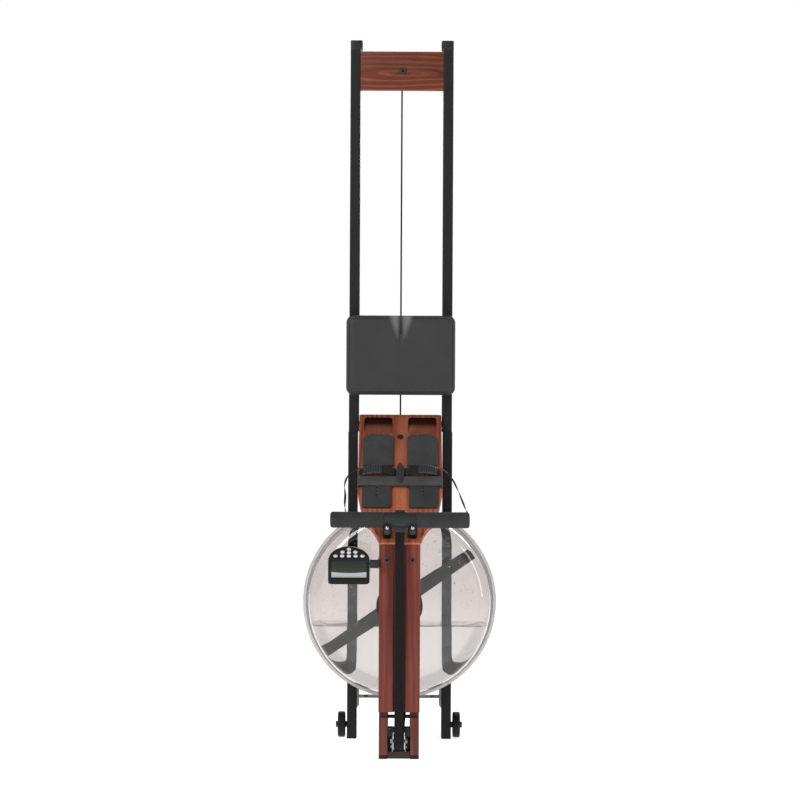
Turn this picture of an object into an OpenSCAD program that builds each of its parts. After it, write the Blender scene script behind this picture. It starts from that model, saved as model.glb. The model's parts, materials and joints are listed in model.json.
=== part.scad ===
// Water rowing machine, stored upright on its front end.
// Millimetres, +Z up along the rails. The front of the upright machine, which is its
// top side in use, faces -Y, and its floor in use lies at +Y.

/* [Rails] */
// Overall length of the machine, which is its height when it stands
machine_h = 2100; // [2050:10:2150]
// Distance from the centre plane to the outside of a seat rail
rail_outside = 155; // [154:0.5:156]
// Width of a seat rail
rail_w = 30; // [29:0.5:31]
// Depth of a seat rail
rail_d = 60; // [58:1:62]
// Wall of the rail tubes
rail_wall = 2.5; // [2:0.5:3]
// Height of the joint between front and seat rails
splice_z = 923; // [915:1:930]
// Height of the wooden crossmember at the rear end
cross_h = 116; // [100:1:120]

/* [Seat] */
// Width of the seat
seat_w = 324; // [310:1:330]
// Length of the seat along the rails
seat_l = 236; // [230:1:240]
// Thickness of the seat pad
seat_t = 32; // [26:1:34]
// Lowest point of the seat at its lower stop
seat_z = 1034; // [1030:1:1040]
// Travel of the seat
seat_travel = 660; // [600:10:660]
// Radius of the seat rollers
roller_r = 22; // [20:1:22]

/* [Footboard and beam] */
// Width of the footboard
board_w = 246; // [240:1:246]
// Thickness of the wooden boards
board_t = 20; // [18:1:20]
// Height of the footboard's upper edge
heel_z = 975; // [970:1:978]
// Width of the beam's deck
deck_w = 117; // [115:1:117]
// Height of the top of the deck
deck_top = 610; // [608:1:612]

/* [Tank] */
// Radius of the tank's flange
tank_r = 284.5; // [284:0.5:286]
// Height of the tank's centre
tank_z = 424; // [422:1:426]
// Wall of the tank shells
tank_wall = 4; // [3:0.5:5]
// Water level
water_z = 358; // [340:1:370]
// Angle of the paddle, from level
paddle_angle = 33.8; // [-60:0.1:60]

/* [Handle] */
// Length of the handle
handle_l = 393; // [385:1:395]
// Radius of the grips
grip_r = 22.8; // [22:0.1:23]
// Height of the handle on its hooks
handle_z = 681; // [680:0.5:682]

/* [Monitor] */
// Width of the monitor
monitor_w = 117; // [115:1:118]
// Height of the monitor
monitor_h = 106; // [104:1:107]
// Depth of the monitor
monitor_t = 23; // [20:1:24]

/* [Hidden] */
$fn = 64;

face_y = 129;                 // rails' front face, from the object's middle
gap = 0.3;                    // between pieces that move past each other
leg_y = 161;                  // floor in use, from the rails' front face
rail_in = rail_outside - rail_w;
front_in = 127.5;             // the front rails stand slightly further out
front_w = 29;
front_d = 56;
foot_h = 4;                   // plug under each front rail
cap_h = 28;
cross_top = machine_h - 33;
anchor_z = 2008;

tank_mid = -105;              // plane of the tank's flange
tank_front = -195;
shoulder_r = 40;
shoulder_c = 228;
shaft_r = 8;
drum_r = 38;
drum_flange_r = 67;
belt_t = 1.6;
belt_w = 26;
pulley_y = -340;
pulley_z = 50;
pulley_r = 21.4;
belt_y = -238.75;             // middle of the drum's belt groove
cord_y = -216.5;              // middle of the drum's cord groove
cord_r = 2.5;
spool_r = 32.5;
deck_y = -360;                // front face of the deck
cheek_in = 32;
cheek_out = 57;
cheek_back = -262;
handle_y = -390;
peg_r = 9;
peg_x = 36;
hook_screws = [433, 488];     // distance down the board
scoop_d = 17;                 // depth of the heel scoops
arch_c = [64, -86];           // centre of the foot straps' arches
arch_r = 106;
strap_u = 244;                // middle of the foot straps, down the board
band_u = 281;                 // middle of the toe band, down the board
monitor_x = -143.4;
monitor_y = -385;
monitor_z = 498.5;
tilt_y = -373;
tilt_z = 555.6;
wheel_y = 30;                 // beside the front rails, just off the floor
wheel_z = 39.5;
wheel_r = 38.3;
wheel_in = 161.5;
wheel_out = 184.5;
axle_r = 5;
roller_axle_r = 4;
roller_y = -roller_r - gap;
roller_zs = [seat_z + 60, seat_z + 176];
guide_rear = [10.5, 915];     // axis of each guide pulley, Y then Z
guide_front = [-199, 713];
guide_r = 14.5;
key_r = 4.2;
key_w = 12;
key_xz = [[0, 99], [-18, 91], [0, 89.5], [18, 91], [-38, 80], [-19, 80], [0, 80], [19, 80], [38, 80]];

// Route of the bungee cord, from the rear crossmember to the drum
cord_route = [[0, 31, 1986], [0, 28, 1950], [0, 28, 1900], [0, 28, 1700], [0, 28, 1500], [0, 28, 1300],
              [0, 28, 1100], [0, 28, 1000], [0, 28, 940], [0, 28, 915], [0, 27.5, 910],
              [0, 25.5, 905.5], [0, 21, 901], [0, -20, 870], [0, -94, 814], [0, -168, 758],
              [0, -209.5, 727], [0, -214, 722], [0, -216, 717.5], [0.2, -216.5, 712],
              [4, -216.5, 680], [14, -216.5, 600], [23.5, -216.5, 520],
              [33.5, -216.5, 440], [35.5, -216.5, 424]];

// ---- helpers ----
module place() { translate([0, face_y, 0]) children(); }
module both_sides() { children(); mirror([1, 0, 0]) children(); }
module rod_x(r, x0, x1) { translate([x0, 0, 0]) rotate([0, 90, 0]) cylinder(r = r, h = x1 - x0); }
module rod_y(r, y0, y1) { translate([0, y1, 0]) rotate([90, 0, 0]) cylinder(r = r, h = y1 - y0); }
module slab_y(y0, y1) { translate([0, y1, 0]) rotate([90, 0, 0]) linear_extrude(y1 - y0) children(); }
module slab_x(x0, x1) { translate([x0, 0, 0]) rotate([90, 0, 90]) linear_extrude(x1 - x0) children(); }
module block(lo, hi) { translate(lo) cube(hi - lo); }
module around_y() { translate([0, 0, tank_z]) rotate([-90, 0, 0]) rotate_extrude($fn = 96) children(); }
// Footboard frame: X, distance down the board, height over its face
module on_board() { translate([0, 0, heel_z]) rotate([45, 0, 0]) mirror([0, 1, 0]) children(); }

module round_rect(w, h, r) {
    square([w - 2 * r, h], center = true);
    square([w, h - 2 * r], center = true);
    for (sx = [-1, 1], sy = [-1, 1]) translate([sx * (w / 2 - r), sy * (h / 2 - r)]) circle(r);
}

function arc(c, r, a0, a1, n) =
    [for (i = [0:n]) let (a = a0 + (a1 - a0) * i / n) c + r * [cos(a), sin(a)]];
function unit(v) = v / norm(v);
// Closed outline of a thin strip that follows a path
function strip(path, t) =
    let (n = len(path),
         normal = [for (i = [0:n - 1])
             let (d = unit(path[min(i + 1, n - 1)] - path[max(i - 1, 0)])) [-d[1], d[0]]])
    concat([for (i = [0:n - 1]) path[i] + normal[i] * t / 2],
           [for (i = [n - 1:-1:0]) path[i] - normal[i] * t / 2]);

// Closed solid through a row of rings with equal point counts
module loft(rings) {
    n = len(rings[0]);
    m = len(rings);
    polyhedron(
        points = [for (ring = rings) each ring],
        faces = concat(
            [[for (j = [0:n - 1]) j]],
            [for (i = [0:m - 2], j = [0:n - 1]) each let (a = i * n + j, b = i * n + (j + 1) % n)
                [[a, a + n, b + n], [a, b + n, b]]],
            [[for (j = [n - 1:-1:0]) (m - 1) * n + j]]),
        convexity = 6);
}

// ---- rails and frame ----
module tube(x0, w, y0, d, z0, z1) {
    translate([x0 + w / 2, y0 + d / 2, z0]) linear_extrude(z1 - z0) difference() {
        round_rect(w, d, 4);
        round_rect(w - 2 * rail_wall, d - 2 * rail_wall, 1.5);
    }
}
module seat_rail(side) {
    color("#262626") place() translate([side < 0 ? -rail_outside - rail_in : 0, 0, 0])
        tube(rail_in, rail_w, 0, rail_d, splice_z + 0.5, machine_h - cap_h);
}
module front_rail(side) {
    color("#202020") place() translate([side < 0 ? -2 * front_in - front_w : 0, 0, 0])
        tube(front_in, front_w, 2, front_d, foot_h, splice_z);
}
module rail_splices() {
    color("dimgray") place() both_sides()
        translate([141.2, 30, splice_z - 80]) linear_extrude(160) round_rect(21.6, 48, 2);
}
module rail_end_caps() {
    lip = 6;
    color("#1c1c1c") place() both_sides() {
        slab_y(0, rail_d) polygon([[rail_in - lip, machine_h - 2], [rail_in - lip + 2, machine_h],
            [rail_outside - 2, machine_h], [rail_outside, machine_h - 2],
            [rail_outside, machine_h - cap_h], [rail_in, machine_h - cap_h],
            [rail_in - lip, machine_h - cap_h + 8]]);
        translate([rail_outside - rail_w / 2, rail_d / 2, machine_h - cap_h - 30]) linear_extrude(30.5)
            round_rect(rail_w - 2 * rail_wall - 0.6, rail_d - 2 * rail_wall - 0.6, 1.5);
    }
}
module rear_crossmember() {
    color("#76412f") place() difference() {
        slab_y(2, 2 + board_t) translate([0, cross_top - cross_h / 2])
            round_rect(2 * rail_in, cross_h, 1.5);
        translate([3, 0, anchor_z]) rod_y(4.3, 0, 24);
    }
}
module legs() {
    pad_y = leg_y - 11;
    color("#1f1f1f") place() both_sides() {
        slab_x(front_in + 2.5, front_in + front_w - 2.5)
            polygon([[front_d + 2, 22], [front_d + 2, 160], [pad_y, 145], [pad_y, 66], [128, 20]]);
        slab_x(rail_in + 3, rail_outside - 3)
            polygon([[rail_d, 1945], [rail_d, 2060], [pad_y, 2040], [pad_y, 1965]]);
    }
}
module rubber_feet() {
    pad_y = leg_y - 11;
    color("#191919") place() both_sides() {
        translate([front_in + front_w / 2, 2 + front_d / 2, 0]) linear_extrude(foot_h)
            round_rect(front_w, front_d, 4);
        translate([front_in + front_w / 2, 2 + front_d / 2, foot_h]) linear_extrude(26)
            round_rect(front_w - 2 * rail_wall - 0.6, front_d - 2 * rail_wall - 0.6, 1.5);
        block([front_in, pad_y, 72], [front_in + front_w, leg_y, 140]);
        block([rail_in + 1, pad_y, 1970], [rail_outside - 1, leg_y, 2036]);
        block([cheek_in, -350, 0], [cheek_out, -290, 11]);
    }
}
module front_tie_plate() {
    color("#262626") place() {
        block([-front_in + 7, 6, 122.2], [front_in - 7, 52, 126.2]);
        both_sides() block([front_in - 7, 6, 98], [front_in, 52, 150]);
    }
}
module stop_block(z0) {
    both_sides() block([rail_in + 2, rail_d, z0], [rail_outside - 5, rail_d + 11, z0 + 20]);
}
module wheel_axles() {
    color("#303030") place() both_sides() translate([0, wheel_y, wheel_z]) {
        rod_x(axle_r, front_in + front_w, wheel_out + 2.5);
        rod_x(9, front_in + front_w, wheel_in - gap);
        rod_x(9, wheel_out + gap, wheel_out + 6);
    }
}

// ---- footboard and beam ----
module footboard_outline() {
    half = board_w / 2;
    side = [[half, 295], [half - 1, 315], [half - 4, 340], [half - 8, 365], [half - 13, 388],
            [half - 20, 414], [104, 430], [84, 445], [70, 470], [deck_w / 2, 500], [deck_w / 2, 530]];
    polygon(concat([[-half + 6, 0], [half - 6, 0]], arc([half - 6, 6], 6, -90, 0, 4), side,
        [for (i = [len(side) - 1:-1:0]) [-side[i][0], side[i][1]]],
        arc([-half + 6, 6], 6, 180, 270, 4)));
}
module footboard() {
    color("#8f5040") place() difference() {
        on_board() difference() {
            translate([0, 0, -board_t]) linear_extrude(board_t) footboard_outline();
            both_sides() intersection() {
                translate([65.5, 45.5, -board_t - 1]) linear_extrude(board_t + 2) round_rect(87, 67, 11);
                slab_x(23, 111) polygon([[10, -scoop_d], [10, 1], [80, 1], [80, 0], [15, -scoop_d]]);
            }
            both_sides() for (u = hook_screws) translate([peg_x, u, -board_t - 1])
                cylinder(r = 2.6, h = board_t + 2);
        }
        block([-200, -600, 400], [200, 100, deck_top]);
        block([-200, -600, 400], [200, deck_y, 800]);
    }
}
module beam_deck() {
    color("#70402f") place() difference() {
        block([-deck_w / 2, deck_y, 134], [deck_w / 2, deck_y + board_t, deck_top]);
        block([-17, deck_y - 1, 133], [17, deck_y + 6, deck_top + 1]);
    }
}
module beam_cheeks() {
    color("#683b33") place() both_sides() slab_x(cheek_in, cheek_out) polygon(concat(
        [[-352, 11], [-352, 118], [deck_y + board_t, 118], [deck_y + board_t, 606],
         [cheek_back, 684]],
        arc([cheek_back + 50, 172], 50, 180, 270, 6),
        [[55, 122], [55, 70], [-60, 40], [-230, 11]]));
}
module nose_crossbar() {
    color("#1e1e1e") place() block([-cheek_in, -348, 1], [cheek_in, -306, 21]);
}
module pulley_bracket() {
    color("#8d8d8d") place() {
        both_sides() slab_x(17, 19.5) difference() {
            polygon([[-352, 21], [-352, 60], [-346, 66], [-325, 66], [-318, 60], [-318, 21]]);
            translate([pulley_y, pulley_z]) circle(5.2);
        }
        translate([0, pulley_y, pulley_z]) {
            rod_x(5, -24, 24);
            both_sides() rod_x(8.5, 19.5, 24);
        }
        both_sides() translate([0, -336, 33]) rod_x(5.5, 19.5, 23.5);
        both_sides() block([16.5, -352, 66], [cheek_in, -326, 90]);
        both_sides() block([19.5, -334, 21], [cheek_in, -322, 66]);
        both_sides() block([13, -352, 76], [16.5, -326, 90]);
        translate([0, -332, 119]) rod_x(5, -cheek_in, cheek_in);
    }
}
module handle_hooks() {
    z = handle_z - 22 - gap - peg_r;
    color("#1b1b1b") place() {
        both_sides() translate([peg_x, 0, z]) difference() {
            union() {
                rod_y(peg_r, -419, -300);
                hull() {
                    rod_y(peg_r, -419, -410);
                    translate([0, 0, 12]) rod_y(6.5, -419, -410);
                }
            }
            translate([0, 0, heel_z - z]) rotate([45, 0, 0]) translate([-50, -600, -100])
                cube([100, 700, 103]);
        }
        on_board() both_sides() translate([peg_x, 460.5, 0]) linear_extrude(3) round_rect(26, 68, 6);
    }
}
module fasteners() {
    color("#2a2a2a") place() {
        translate([3, 0, anchor_z]) { rod_y(9, -3, 2); rod_y(4, 2, 34); rod_y(8, 22, 26); }
        translate([3, 33.5, anchor_z - 10]) rotate([0, 90, 0]) rotate_extrude()
            translate([8, 0]) circle(2.2, $fn = 24);
        both_sides() translate([36, deck_y, 565]) rod_y(8, -3, 0);
        on_board() both_sides() for (u = hook_screws) translate([peg_x, u, 3]) cylinder(r = 4.5, h = 2.5);
        on_board() translate([0, 95, 0]) cylinder(r = 8.5, h = 3);
        both_sides() translate([100, 14, 126.2]) cylinder(r = 6, h = 4);
        stop_block(seat_z + 32 - gap - 20);
        stop_block(seat_z + 204 + gap + seat_travel);
    }
}

// ---- foot supports ----
module heel_pads() {
    color("#3f3f3f") place() on_board() both_sides() linear_extrude(8) {
        translate([65, 170]) square([90, 90], center = true);
        translate([38, 108]) circle(18);
        translate([80, 117]) circle(30);
        polygon([[20, 108], [38, 90], [80, 87], [110, 117], [110, 130], [20, 130]]);
    }
}
module toe_plate(side) {
    color("#424242") place() on_board() translate([side * 68, 320, gap]) difference() {
        linear_extrude(7.7) round_rect(84, 120, 9);
        for (u = [-15, -1, 13]) translate([0, u, 4]) cylinder(r = 2.6, h = 5);
    }
}
module strap_arch(w) {
    path = concat([[12, 2], [15, 7]], arc(arch_c, arch_r, 116, 64, 10), [[114, 6], [119, 1]]);
    rotate([90, 0, 0]) linear_extrude(w, center = true) polygon(strip(path, 2.4));
}
module foot_straps() {
    tail_left = [[-119, 820], [-128, 816], [-146, 805], [-158, 788], [-163, 768], [-160, 740],
                 [-161, 712], [-159, 692]];
    tail_right = [[119, 820], [128, 815], [144, 800], [156, 784], [168, 760], [180, 732], [192, 703],
                  [198, 690]];
    color("#2e2e2e") place() {
        on_board() both_sides() translate([0, strap_u, 0]) strap_arch(30);
        slab_y(-190, -168) polygon(strip(tail_left, 1.8));
        slab_y(-190, -168) polygon(strip(tail_right, 1.8));
    }
}
module toe_band() {
    color("#484848") place() on_board() translate([0, band_u, 0]) rotate([90, 0, 0])
        linear_extrude(38, center = true) polygon([
            [-124.4, -8], [-124.4, 3], [-120, 12], [120, 12], [124.4, 3], [124.4, -8],
            [123.2, -8], [123.2, 3], [119, 9.8], [-119, 9.8], [-123.2, 3], [-123.2, -8]]);
}
module strap_clip() {
    color("#242424") place() on_board() {
        translate([0, strap_u - 2, 0]) linear_extrude(12.2) round_rect(22, 36, 5);
        translate([0, strap_u + 8, 12.2]) linear_extrude(6)
            polygon([[-6, -34], [0, -42], [6, -34], [11, -16], [12, 6], [9, 24], [5, 38], [-5, 38],
                     [-9, 24], [-12, 6], [-11, -16]]);
        both_sides() translate([0, strap_u, 0]) rotate([90, 0, 0]) linear_extrude(33, center = true)
            polygon(strip(arc(arch_c, arch_r + 4.1, 96, 66, 8), 5));
    }
}

// ---- tank ----
function shell_profile(extra) = concat(
    [[14.2, tank_front + extra]],
    arc([shoulder_c, tank_front + shoulder_r], shoulder_r - extra, -90, 0, 12));
module front_shell_profile() {
    polygon(concat(shell_profile(0),
        [[275, -114], [tank_r, -114], [tank_r, tank_mid - 1], [271, tank_mid - 1]],
        [for (i = [13:-1:0]) shell_profile(tank_wall)[i]]));
}
module rear_shell_profile() { translate([0, 2 * tank_mid]) mirror([0, 1]) front_shell_profile(); }
module tank_front_shell() { color("#d6cdc9", 0.45) place() around_y() front_shell_profile(); }
module tank_rear_shell() { color("#d6cdc9", 0.45) place() around_y() rear_shell_profile(); }
module tank_gasket() {
    color("#5c5855") place() around_y() translate([272, tank_mid - 1]) square([11, 2]);
}
module tank_standoffs() {
    color("#2a2a2a") place() for (sx = [-1, 1], sz = [-1, 1])
        translate([sx * 140, 0, tank_z + sz * 150]) rod_y(14, -15, 2);
}
module bearing_housings() {
    color("#333333") place() {
        around_y() polygon([[shaft_r + 0.06, -206], [26, -206], [34, -200], [34, -195], [14, -195],
            [14, -191], [24, -191], [24, -187], [shaft_r + 0.06, -187]]);
        around_y() polygon([[shaft_r + 0.06, -23], [24, -23], [24, -19], [14, -19], [14, -15], [34, -15],
            [34, -10], [26, -3], [0, -3], [0, -6], [shaft_r + 0.06, -6]]);
    }
}
module paddle_plan(extra) {
    tip = 258 + extra;
    rotate([0, -paddle_angle, 0]) {
        for (y = [-155 - extra, -63 - extra]) slab_y(y, y + 8 + 2 * extra)
            polygon([[-tip, -13 - extra], [0, -19 - extra], [tip, -13 - extra],
                     [tip, 13 + extra], [0, 19 + extra], [-tip, 13 + extra]]);
        for (s = [-1, 1]) slab_y(-147.5, -62.5)
            translate([s * (tip + 20) / 2, 0]) square([tip - 20, 6 + 2 * extra], center = true);
        rod_y(26 + extra, -155, -55);
    }
}
module paddle() {
    color("#3c3c3c") place() translate([0, 0, tank_z]) difference() {
        paddle_plan(0);
        rod_y(shaft_r, -160, -50);
    }
}
module water() {
    inset = tank_wall + gap;
    color("#d8d5d2", 0.4) place() difference() {
        intersection() {
            around_y() polygon(concat([[0, tank_front + inset]],
                arc([shoulder_c, tank_front + shoulder_r], shoulder_r - inset, -90, 0, 12),
                [[270, tank_mid]],
                arc([shoulder_c, 2 * tank_mid - tank_front - shoulder_r], shoulder_r - inset, 0, 90, 12),
                [[0, 2 * tank_mid - tank_front - inset]]));
            block([-300, -300, 100], [300, 100, water_z]);
        }
        translate([0, 0, tank_z]) paddle_plan(1);
    }
}
module paddle_shaft() {
    color("silver") place() translate([0, 0, tank_z]) {
        rod_y(shaft_r, -257, -6.5);
        rod_y(13, -260, -256.4);
    }
}
module belt_drum() {
    bore = shaft_r + 0.05;
    color("#2b2b2b") place() around_y() polygon([[bore, -256], [drum_flange_r, -256],
        [drum_flange_r, -253], [drum_r, -253], [drum_r, -224.5], [drum_flange_r, -224.5],
        [drum_flange_r, -222], [spool_r, -222], [spool_r, -211], [50, -211], [50, -208.5],
        [20, -208.5], [20, -206.5], [bore, -206.5]]);
}

// ---- belt, cord and their pulleys ----
module drive_belt() {
    r = pulley_r + 0.5 + belt_t / 2;
    tangent_x = drum_r + 0.4 + belt_t / 2;
    centre = [0, pulley_y, pulley_z];
    // each entry: middle of the belt, direction of its width, direction of its thickness
    front_run = [[[0, -388, 646], [1, 0, 0], [0, 1, 0]], [[0, -376, 340], [1, 0, 0], [0, 1, 0]]];
    wrap = [for (i = [0:10]) let (a = 180 + 18 * i)
        [centre + r * [0, cos(a), sin(a)], [1, 0, 0], [0, -cos(a), -sin(a)]]];
    // the belt is in line with its groove before it reaches the drum's flanges
    back_run = [for (i = [1:14]) let (t = i / 14, s = min(t / 0.76, 1), a = 90 * s)
        [[tangent_x * t, pulley_y + r + (belt_y - pulley_y - r) * s, pulley_z + (tank_z - pulley_z) * t],
         [cos(a), sin(a), 0], [sin(a), -cos(a), 0]]];
    color("#252425") place() loft([for (f = concat(front_run, wrap, back_run))
        [for (c = [[-1, -1], [1, -1], [1, 1], [-1, 1]])
            f[0] + c[0] * belt_w / 2 * f[1] + c[1] * belt_t / 2 * f[2]]]);
}
module front_pulley() {
    color("#303030") place() translate([0, pulley_y, pulley_z]) rotate([0, 90, 0]) rotate_extrude()
        polygon([[5.06, -15.5], [24, -15.5], [24, -13.6], [pulley_r, -13.6], [pulley_r, 13.6],
                 [24, 13.6], [24, 15.5], [5.06, 15.5]]);
}
module bungee_cord() {
    sides = 8;
    n = len(cord_route);
    color("#202020") place() loft([for (i = [0:n - 1])
        let (d = unit(cord_route[min(i + 1, n - 1)] - cord_route[max(i - 1, 0)]),
             side = unit(cross(d, [0, d[2], -d[1]])), up = cross(side, d))
        [for (j = [0:sides - 1]) let (a = 360 * j / sides)
            cord_route[i] + cord_r * (cos(a) * side + sin(a) * up)]]);
}
module guide_pulley(p) {
    color("#303030") place() translate([0, p[0], p[1]]) rotate([0, 90, 0]) rotate_extrude()
        polygon([[3.06, -5], [18, -5], [18, -4], [guide_r, -2.8],
                 [guide_r, 2.8], [18, 4], [18, 5], [3.06, 5]]);
}
module guide_brackets() {
    color("#3a3a3a") place() {
        for (p = [guide_rear, guide_front]) {
            u = (heel_z - p[1] - p[0]) / sqrt(2);
            n = (p[1] - heel_z - p[0]) / sqrt(2);
            on_board() both_sides() {
                difference() {
                    slab_x(6, 8.5) polygon([[u - 12, -board_t], [u + 12, -board_t], [u + 8, n - 8],
                        [u - 8, n - 8]]);
                    translate([0, u, n]) rod_x(3.1, 5, 10);
                }
                block([8.5, u - 12, -board_t - 3], [26, u + 12, -board_t]);
            }
            translate([0, p[0], p[1]]) {
                rod_x(3, -11, 11);
                both_sides() rod_x(5.5, 8.5, 11);
            }
        }
        on_board() block([-rail_in, 8, -board_t - 10], [rail_in, 22, -board_t]);
    }
}

// ---- seat ----
module seat_pad() {
    color("#404040") place() slab_y(-50 - seat_t, -50) translate([0, seat_z + seat_l / 2])
        round_rect(seat_w, seat_l, 22);
}
module seat_carriage() {
    z0 = seat_z + 28;
    z1 = seat_z + 208;
    color("#3b3b3b") place() {
        slab_y(-50, -46) translate([0, seat_z + seat_l / 2]) round_rect(250, 200, 8);
        both_sides() {
            difference() {
                block([rail_in - 9, -46, z0], [rail_in - 5, 74, z1]);
                for (z = roller_zs) translate([0, roller_y, z]) rod_x(roller_axle_r + 0.1, 100, 130);
            }
            for (z = [z0 + 4, z1 - 34])
                block([rail_in - 5, rail_d + 2, z], [rail_outside - 5, rail_d + 12, z + 30]);
        }
        for (z = roller_zs) translate([0, roller_y, z]) {
            rod_x(roller_axle_r, -rail_outside + 1, rail_outside - 1);
            both_sides() rod_x(8, rail_outside - 5 + gap, rail_outside - 1);
        }
    }
}
module seat_rollers(i) {
    color("#222222") place() both_sides() translate([0, roller_y, roller_zs[i]]) rotate([0, 90, 0])
        rotate_extrude()
        polygon([[roller_axle_r + 0.06, rail_in + 4.5], [8, rail_in + 4.5], [roller_r - 2, rail_in + 4.5],
                 [roller_r, rail_in + 6.5], [roller_r, rail_in + 23], [roller_r - 2, rail_outside - 5],
                 [roller_axle_r + 0.06, rail_outside - 5]]);
}

// ---- handle ----
module handle_bar() {
    half = handle_l / 2;
    color("#353839") place() {
        translate([0, handle_y, handle_z]) {
            rod_x(13.9, -half + 3, half - 3);
            rod_x(22, -44.7, 44.7);
        }
        block([-13.5, handle_y - 3.5, handle_z + 19], [13.5, handle_y + 3.5, handle_z + 28]);
        slab_x(-17, 17) polygon([[handle_y - 8, handle_z - 15], [handle_y + 8, handle_z - 15],
            [handle_y + 5, 646.3], [handle_y - 3, 646.3]]);
    }
}
module handle_grips() {
    half = handle_l / 2;
    color("#3d3d3d") place() both_sides() translate([0, handle_y, handle_z]) rotate([0, 90, 0])
        rotate_extrude() polygon(concat([[14, 45], [grip_r - 1.5, 45], [grip_r, 46.5]],
            arc([grip_r - 7, half - 7], 7, 0, 90, 6), [[0, half], [0, half - 2.9], [14, half - 2.9]]));
}

// ---- wheels ----
module wheel(side) {
    tread = concat(arc([wheel_r - 5, wheel_in + 5.5], 5, -90, 0, 5),
        arc([wheel_r - 5, wheel_out - 5.5], 5, 0, 90, 5));
    color("#292929") place() translate([0, wheel_y, wheel_z]) rotate([0, 90, 0])
        mirror([0, 0, side < 0 ? 1 : 0]) rotate_extrude() polygon(concat(
            [[axle_r + 0.06, wheel_in], [15, wheel_in], [17, wheel_in + 3], [27, wheel_in + 3],
             [29, wheel_in + 0.5]], tread,
            [[29, wheel_out - 0.5], [27, wheel_out - 3], [17, wheel_out - 3], [15, wheel_out],
             [axle_r + 0.06, wheel_out]]));
}

// ---- monitor ----
module monitor_outline(inset) {
    w = monitor_w / 2 - inset;
    dome_z = 66;
    r = 9 - inset / 2;
    polygon(concat(arc([-w + r, r + inset], r, 180, 270, 5), arc([w - r, r + inset], r, 270, 360, 5),
        [for (a = [0:9:180]) [w * cos(a), dome_z + (monitor_h - inset - dome_z) * sin(a)]]));
}
module monitor_arm() {
    color("#1d1d1d") place() {
        block([-cheek_out - 5, -384, tilt_z - 12], [-deck_w / 2 - 0.5, -290, tilt_z + 12]);
        block([-cheek_out - 1.5, deck_y + board_t + 1, tilt_z - 12], [-cheek_out, -290, tilt_z + 12]);
        translate([0, tilt_y, tilt_z]) {
            rod_x(12, -84, -cheek_out - 5);
            rod_x(4, -98, -84);
        }
    }
}
module key_oval(extra, y0, y1) {
    slab_y(y0, y1) scale([(key_w / 2 + extra) / (key_r + extra), 1]) circle(key_r + extra);
}
module monitor_case() {
    color("#242222") place() difference() {
        translate([monitor_x, 0, monitor_z]) difference() {
            slab_y(monitor_y, monitor_y + monitor_t) monitor_outline(0);
            slab_y(monitor_y - 1, monitor_y + 2) translate([0, 43]) round_rect(99.6, 48, 2);
            for (k = key_xz) translate([k[0], 0, k[1]]) key_oval(gap, monitor_y - 1, monitor_y + 5);
        }
        translate([0, tilt_y, tilt_z]) rod_x(4.06, -98.4, -80);
    }
}
module monitor_screen() {
    color("#3a4038") place() translate([monitor_x, 0, monitor_z])
        slab_y(monitor_y + 0.6, monitor_y + 2) translate([0, 43]) round_rect(99, 47.4, 1.8);
}
module key(i) {
    color("#c9cbcc") place() translate([monitor_x + key_xz[i][0], 0, monitor_z + key_xz[i][1]])
        key_oval(0, monitor_y - 1.5, monitor_y + 3.5);
}

seat_rail(-1);  // seat_rail_left
seat_rail(1);  // seat_rail_right
front_rail(-1);  // front_rail_left
front_rail(1);  // front_rail_right
rail_splices();
rail_end_caps();
rear_crossmember();
legs();
rubber_feet();
front_tie_plate();
footboard();
beam_deck();
beam_cheeks();
nose_crossbar();
tank_front_shell();
tank_rear_shell();
tank_gasket();
tank_standoffs();
water();
bearing_housings();
pulley_bracket();
handle_hooks();
fasteners();
monitor_arm();
guide_brackets();
bungee_cord();
heel_pads();
foot_straps();
toe_band();
strap_clip();
wheel_axles();
seat_pad();
seat_carriage();
seat_rollers(1);  // seat_rollers_upper
seat_rollers(0);  // seat_rollers_lower
handle_bar();
handle_grips();
drive_belt();
belt_drum();
paddle_shaft();
paddle();
front_pulley();
guide_pulley(guide_rear);  // guide_pulley_rear
guide_pulley(guide_front);  // guide_pulley_front
wheel(-1);  // wheel_left
wheel(1);  // wheel_right
toe_plate(-1);  // toe_plate_left
toe_plate(1);  // toe_plate_right
monitor_case();
monitor_screen();
for (i = [0:8]) key(i);
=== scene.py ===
import json
import math
import random

import bmesh
import bpy
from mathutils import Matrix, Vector


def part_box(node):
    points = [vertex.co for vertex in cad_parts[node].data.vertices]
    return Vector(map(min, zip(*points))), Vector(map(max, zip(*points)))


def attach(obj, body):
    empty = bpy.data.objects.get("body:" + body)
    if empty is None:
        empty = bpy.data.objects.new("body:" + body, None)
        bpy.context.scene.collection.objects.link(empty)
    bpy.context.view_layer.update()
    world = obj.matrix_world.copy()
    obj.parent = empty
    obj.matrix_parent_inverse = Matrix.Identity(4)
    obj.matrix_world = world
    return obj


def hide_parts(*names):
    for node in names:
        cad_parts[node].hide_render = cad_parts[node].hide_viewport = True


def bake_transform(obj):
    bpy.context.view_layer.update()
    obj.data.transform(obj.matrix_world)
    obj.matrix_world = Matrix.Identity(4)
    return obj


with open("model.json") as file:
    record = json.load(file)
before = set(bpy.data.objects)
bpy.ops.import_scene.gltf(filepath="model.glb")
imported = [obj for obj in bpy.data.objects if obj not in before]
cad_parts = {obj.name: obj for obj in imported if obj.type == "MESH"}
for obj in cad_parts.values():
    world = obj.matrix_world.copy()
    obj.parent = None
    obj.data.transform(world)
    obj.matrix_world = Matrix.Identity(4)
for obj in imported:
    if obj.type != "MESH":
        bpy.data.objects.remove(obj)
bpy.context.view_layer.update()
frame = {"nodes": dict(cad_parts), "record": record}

NODES = frame["nodes"]
MM = 0.001

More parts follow.
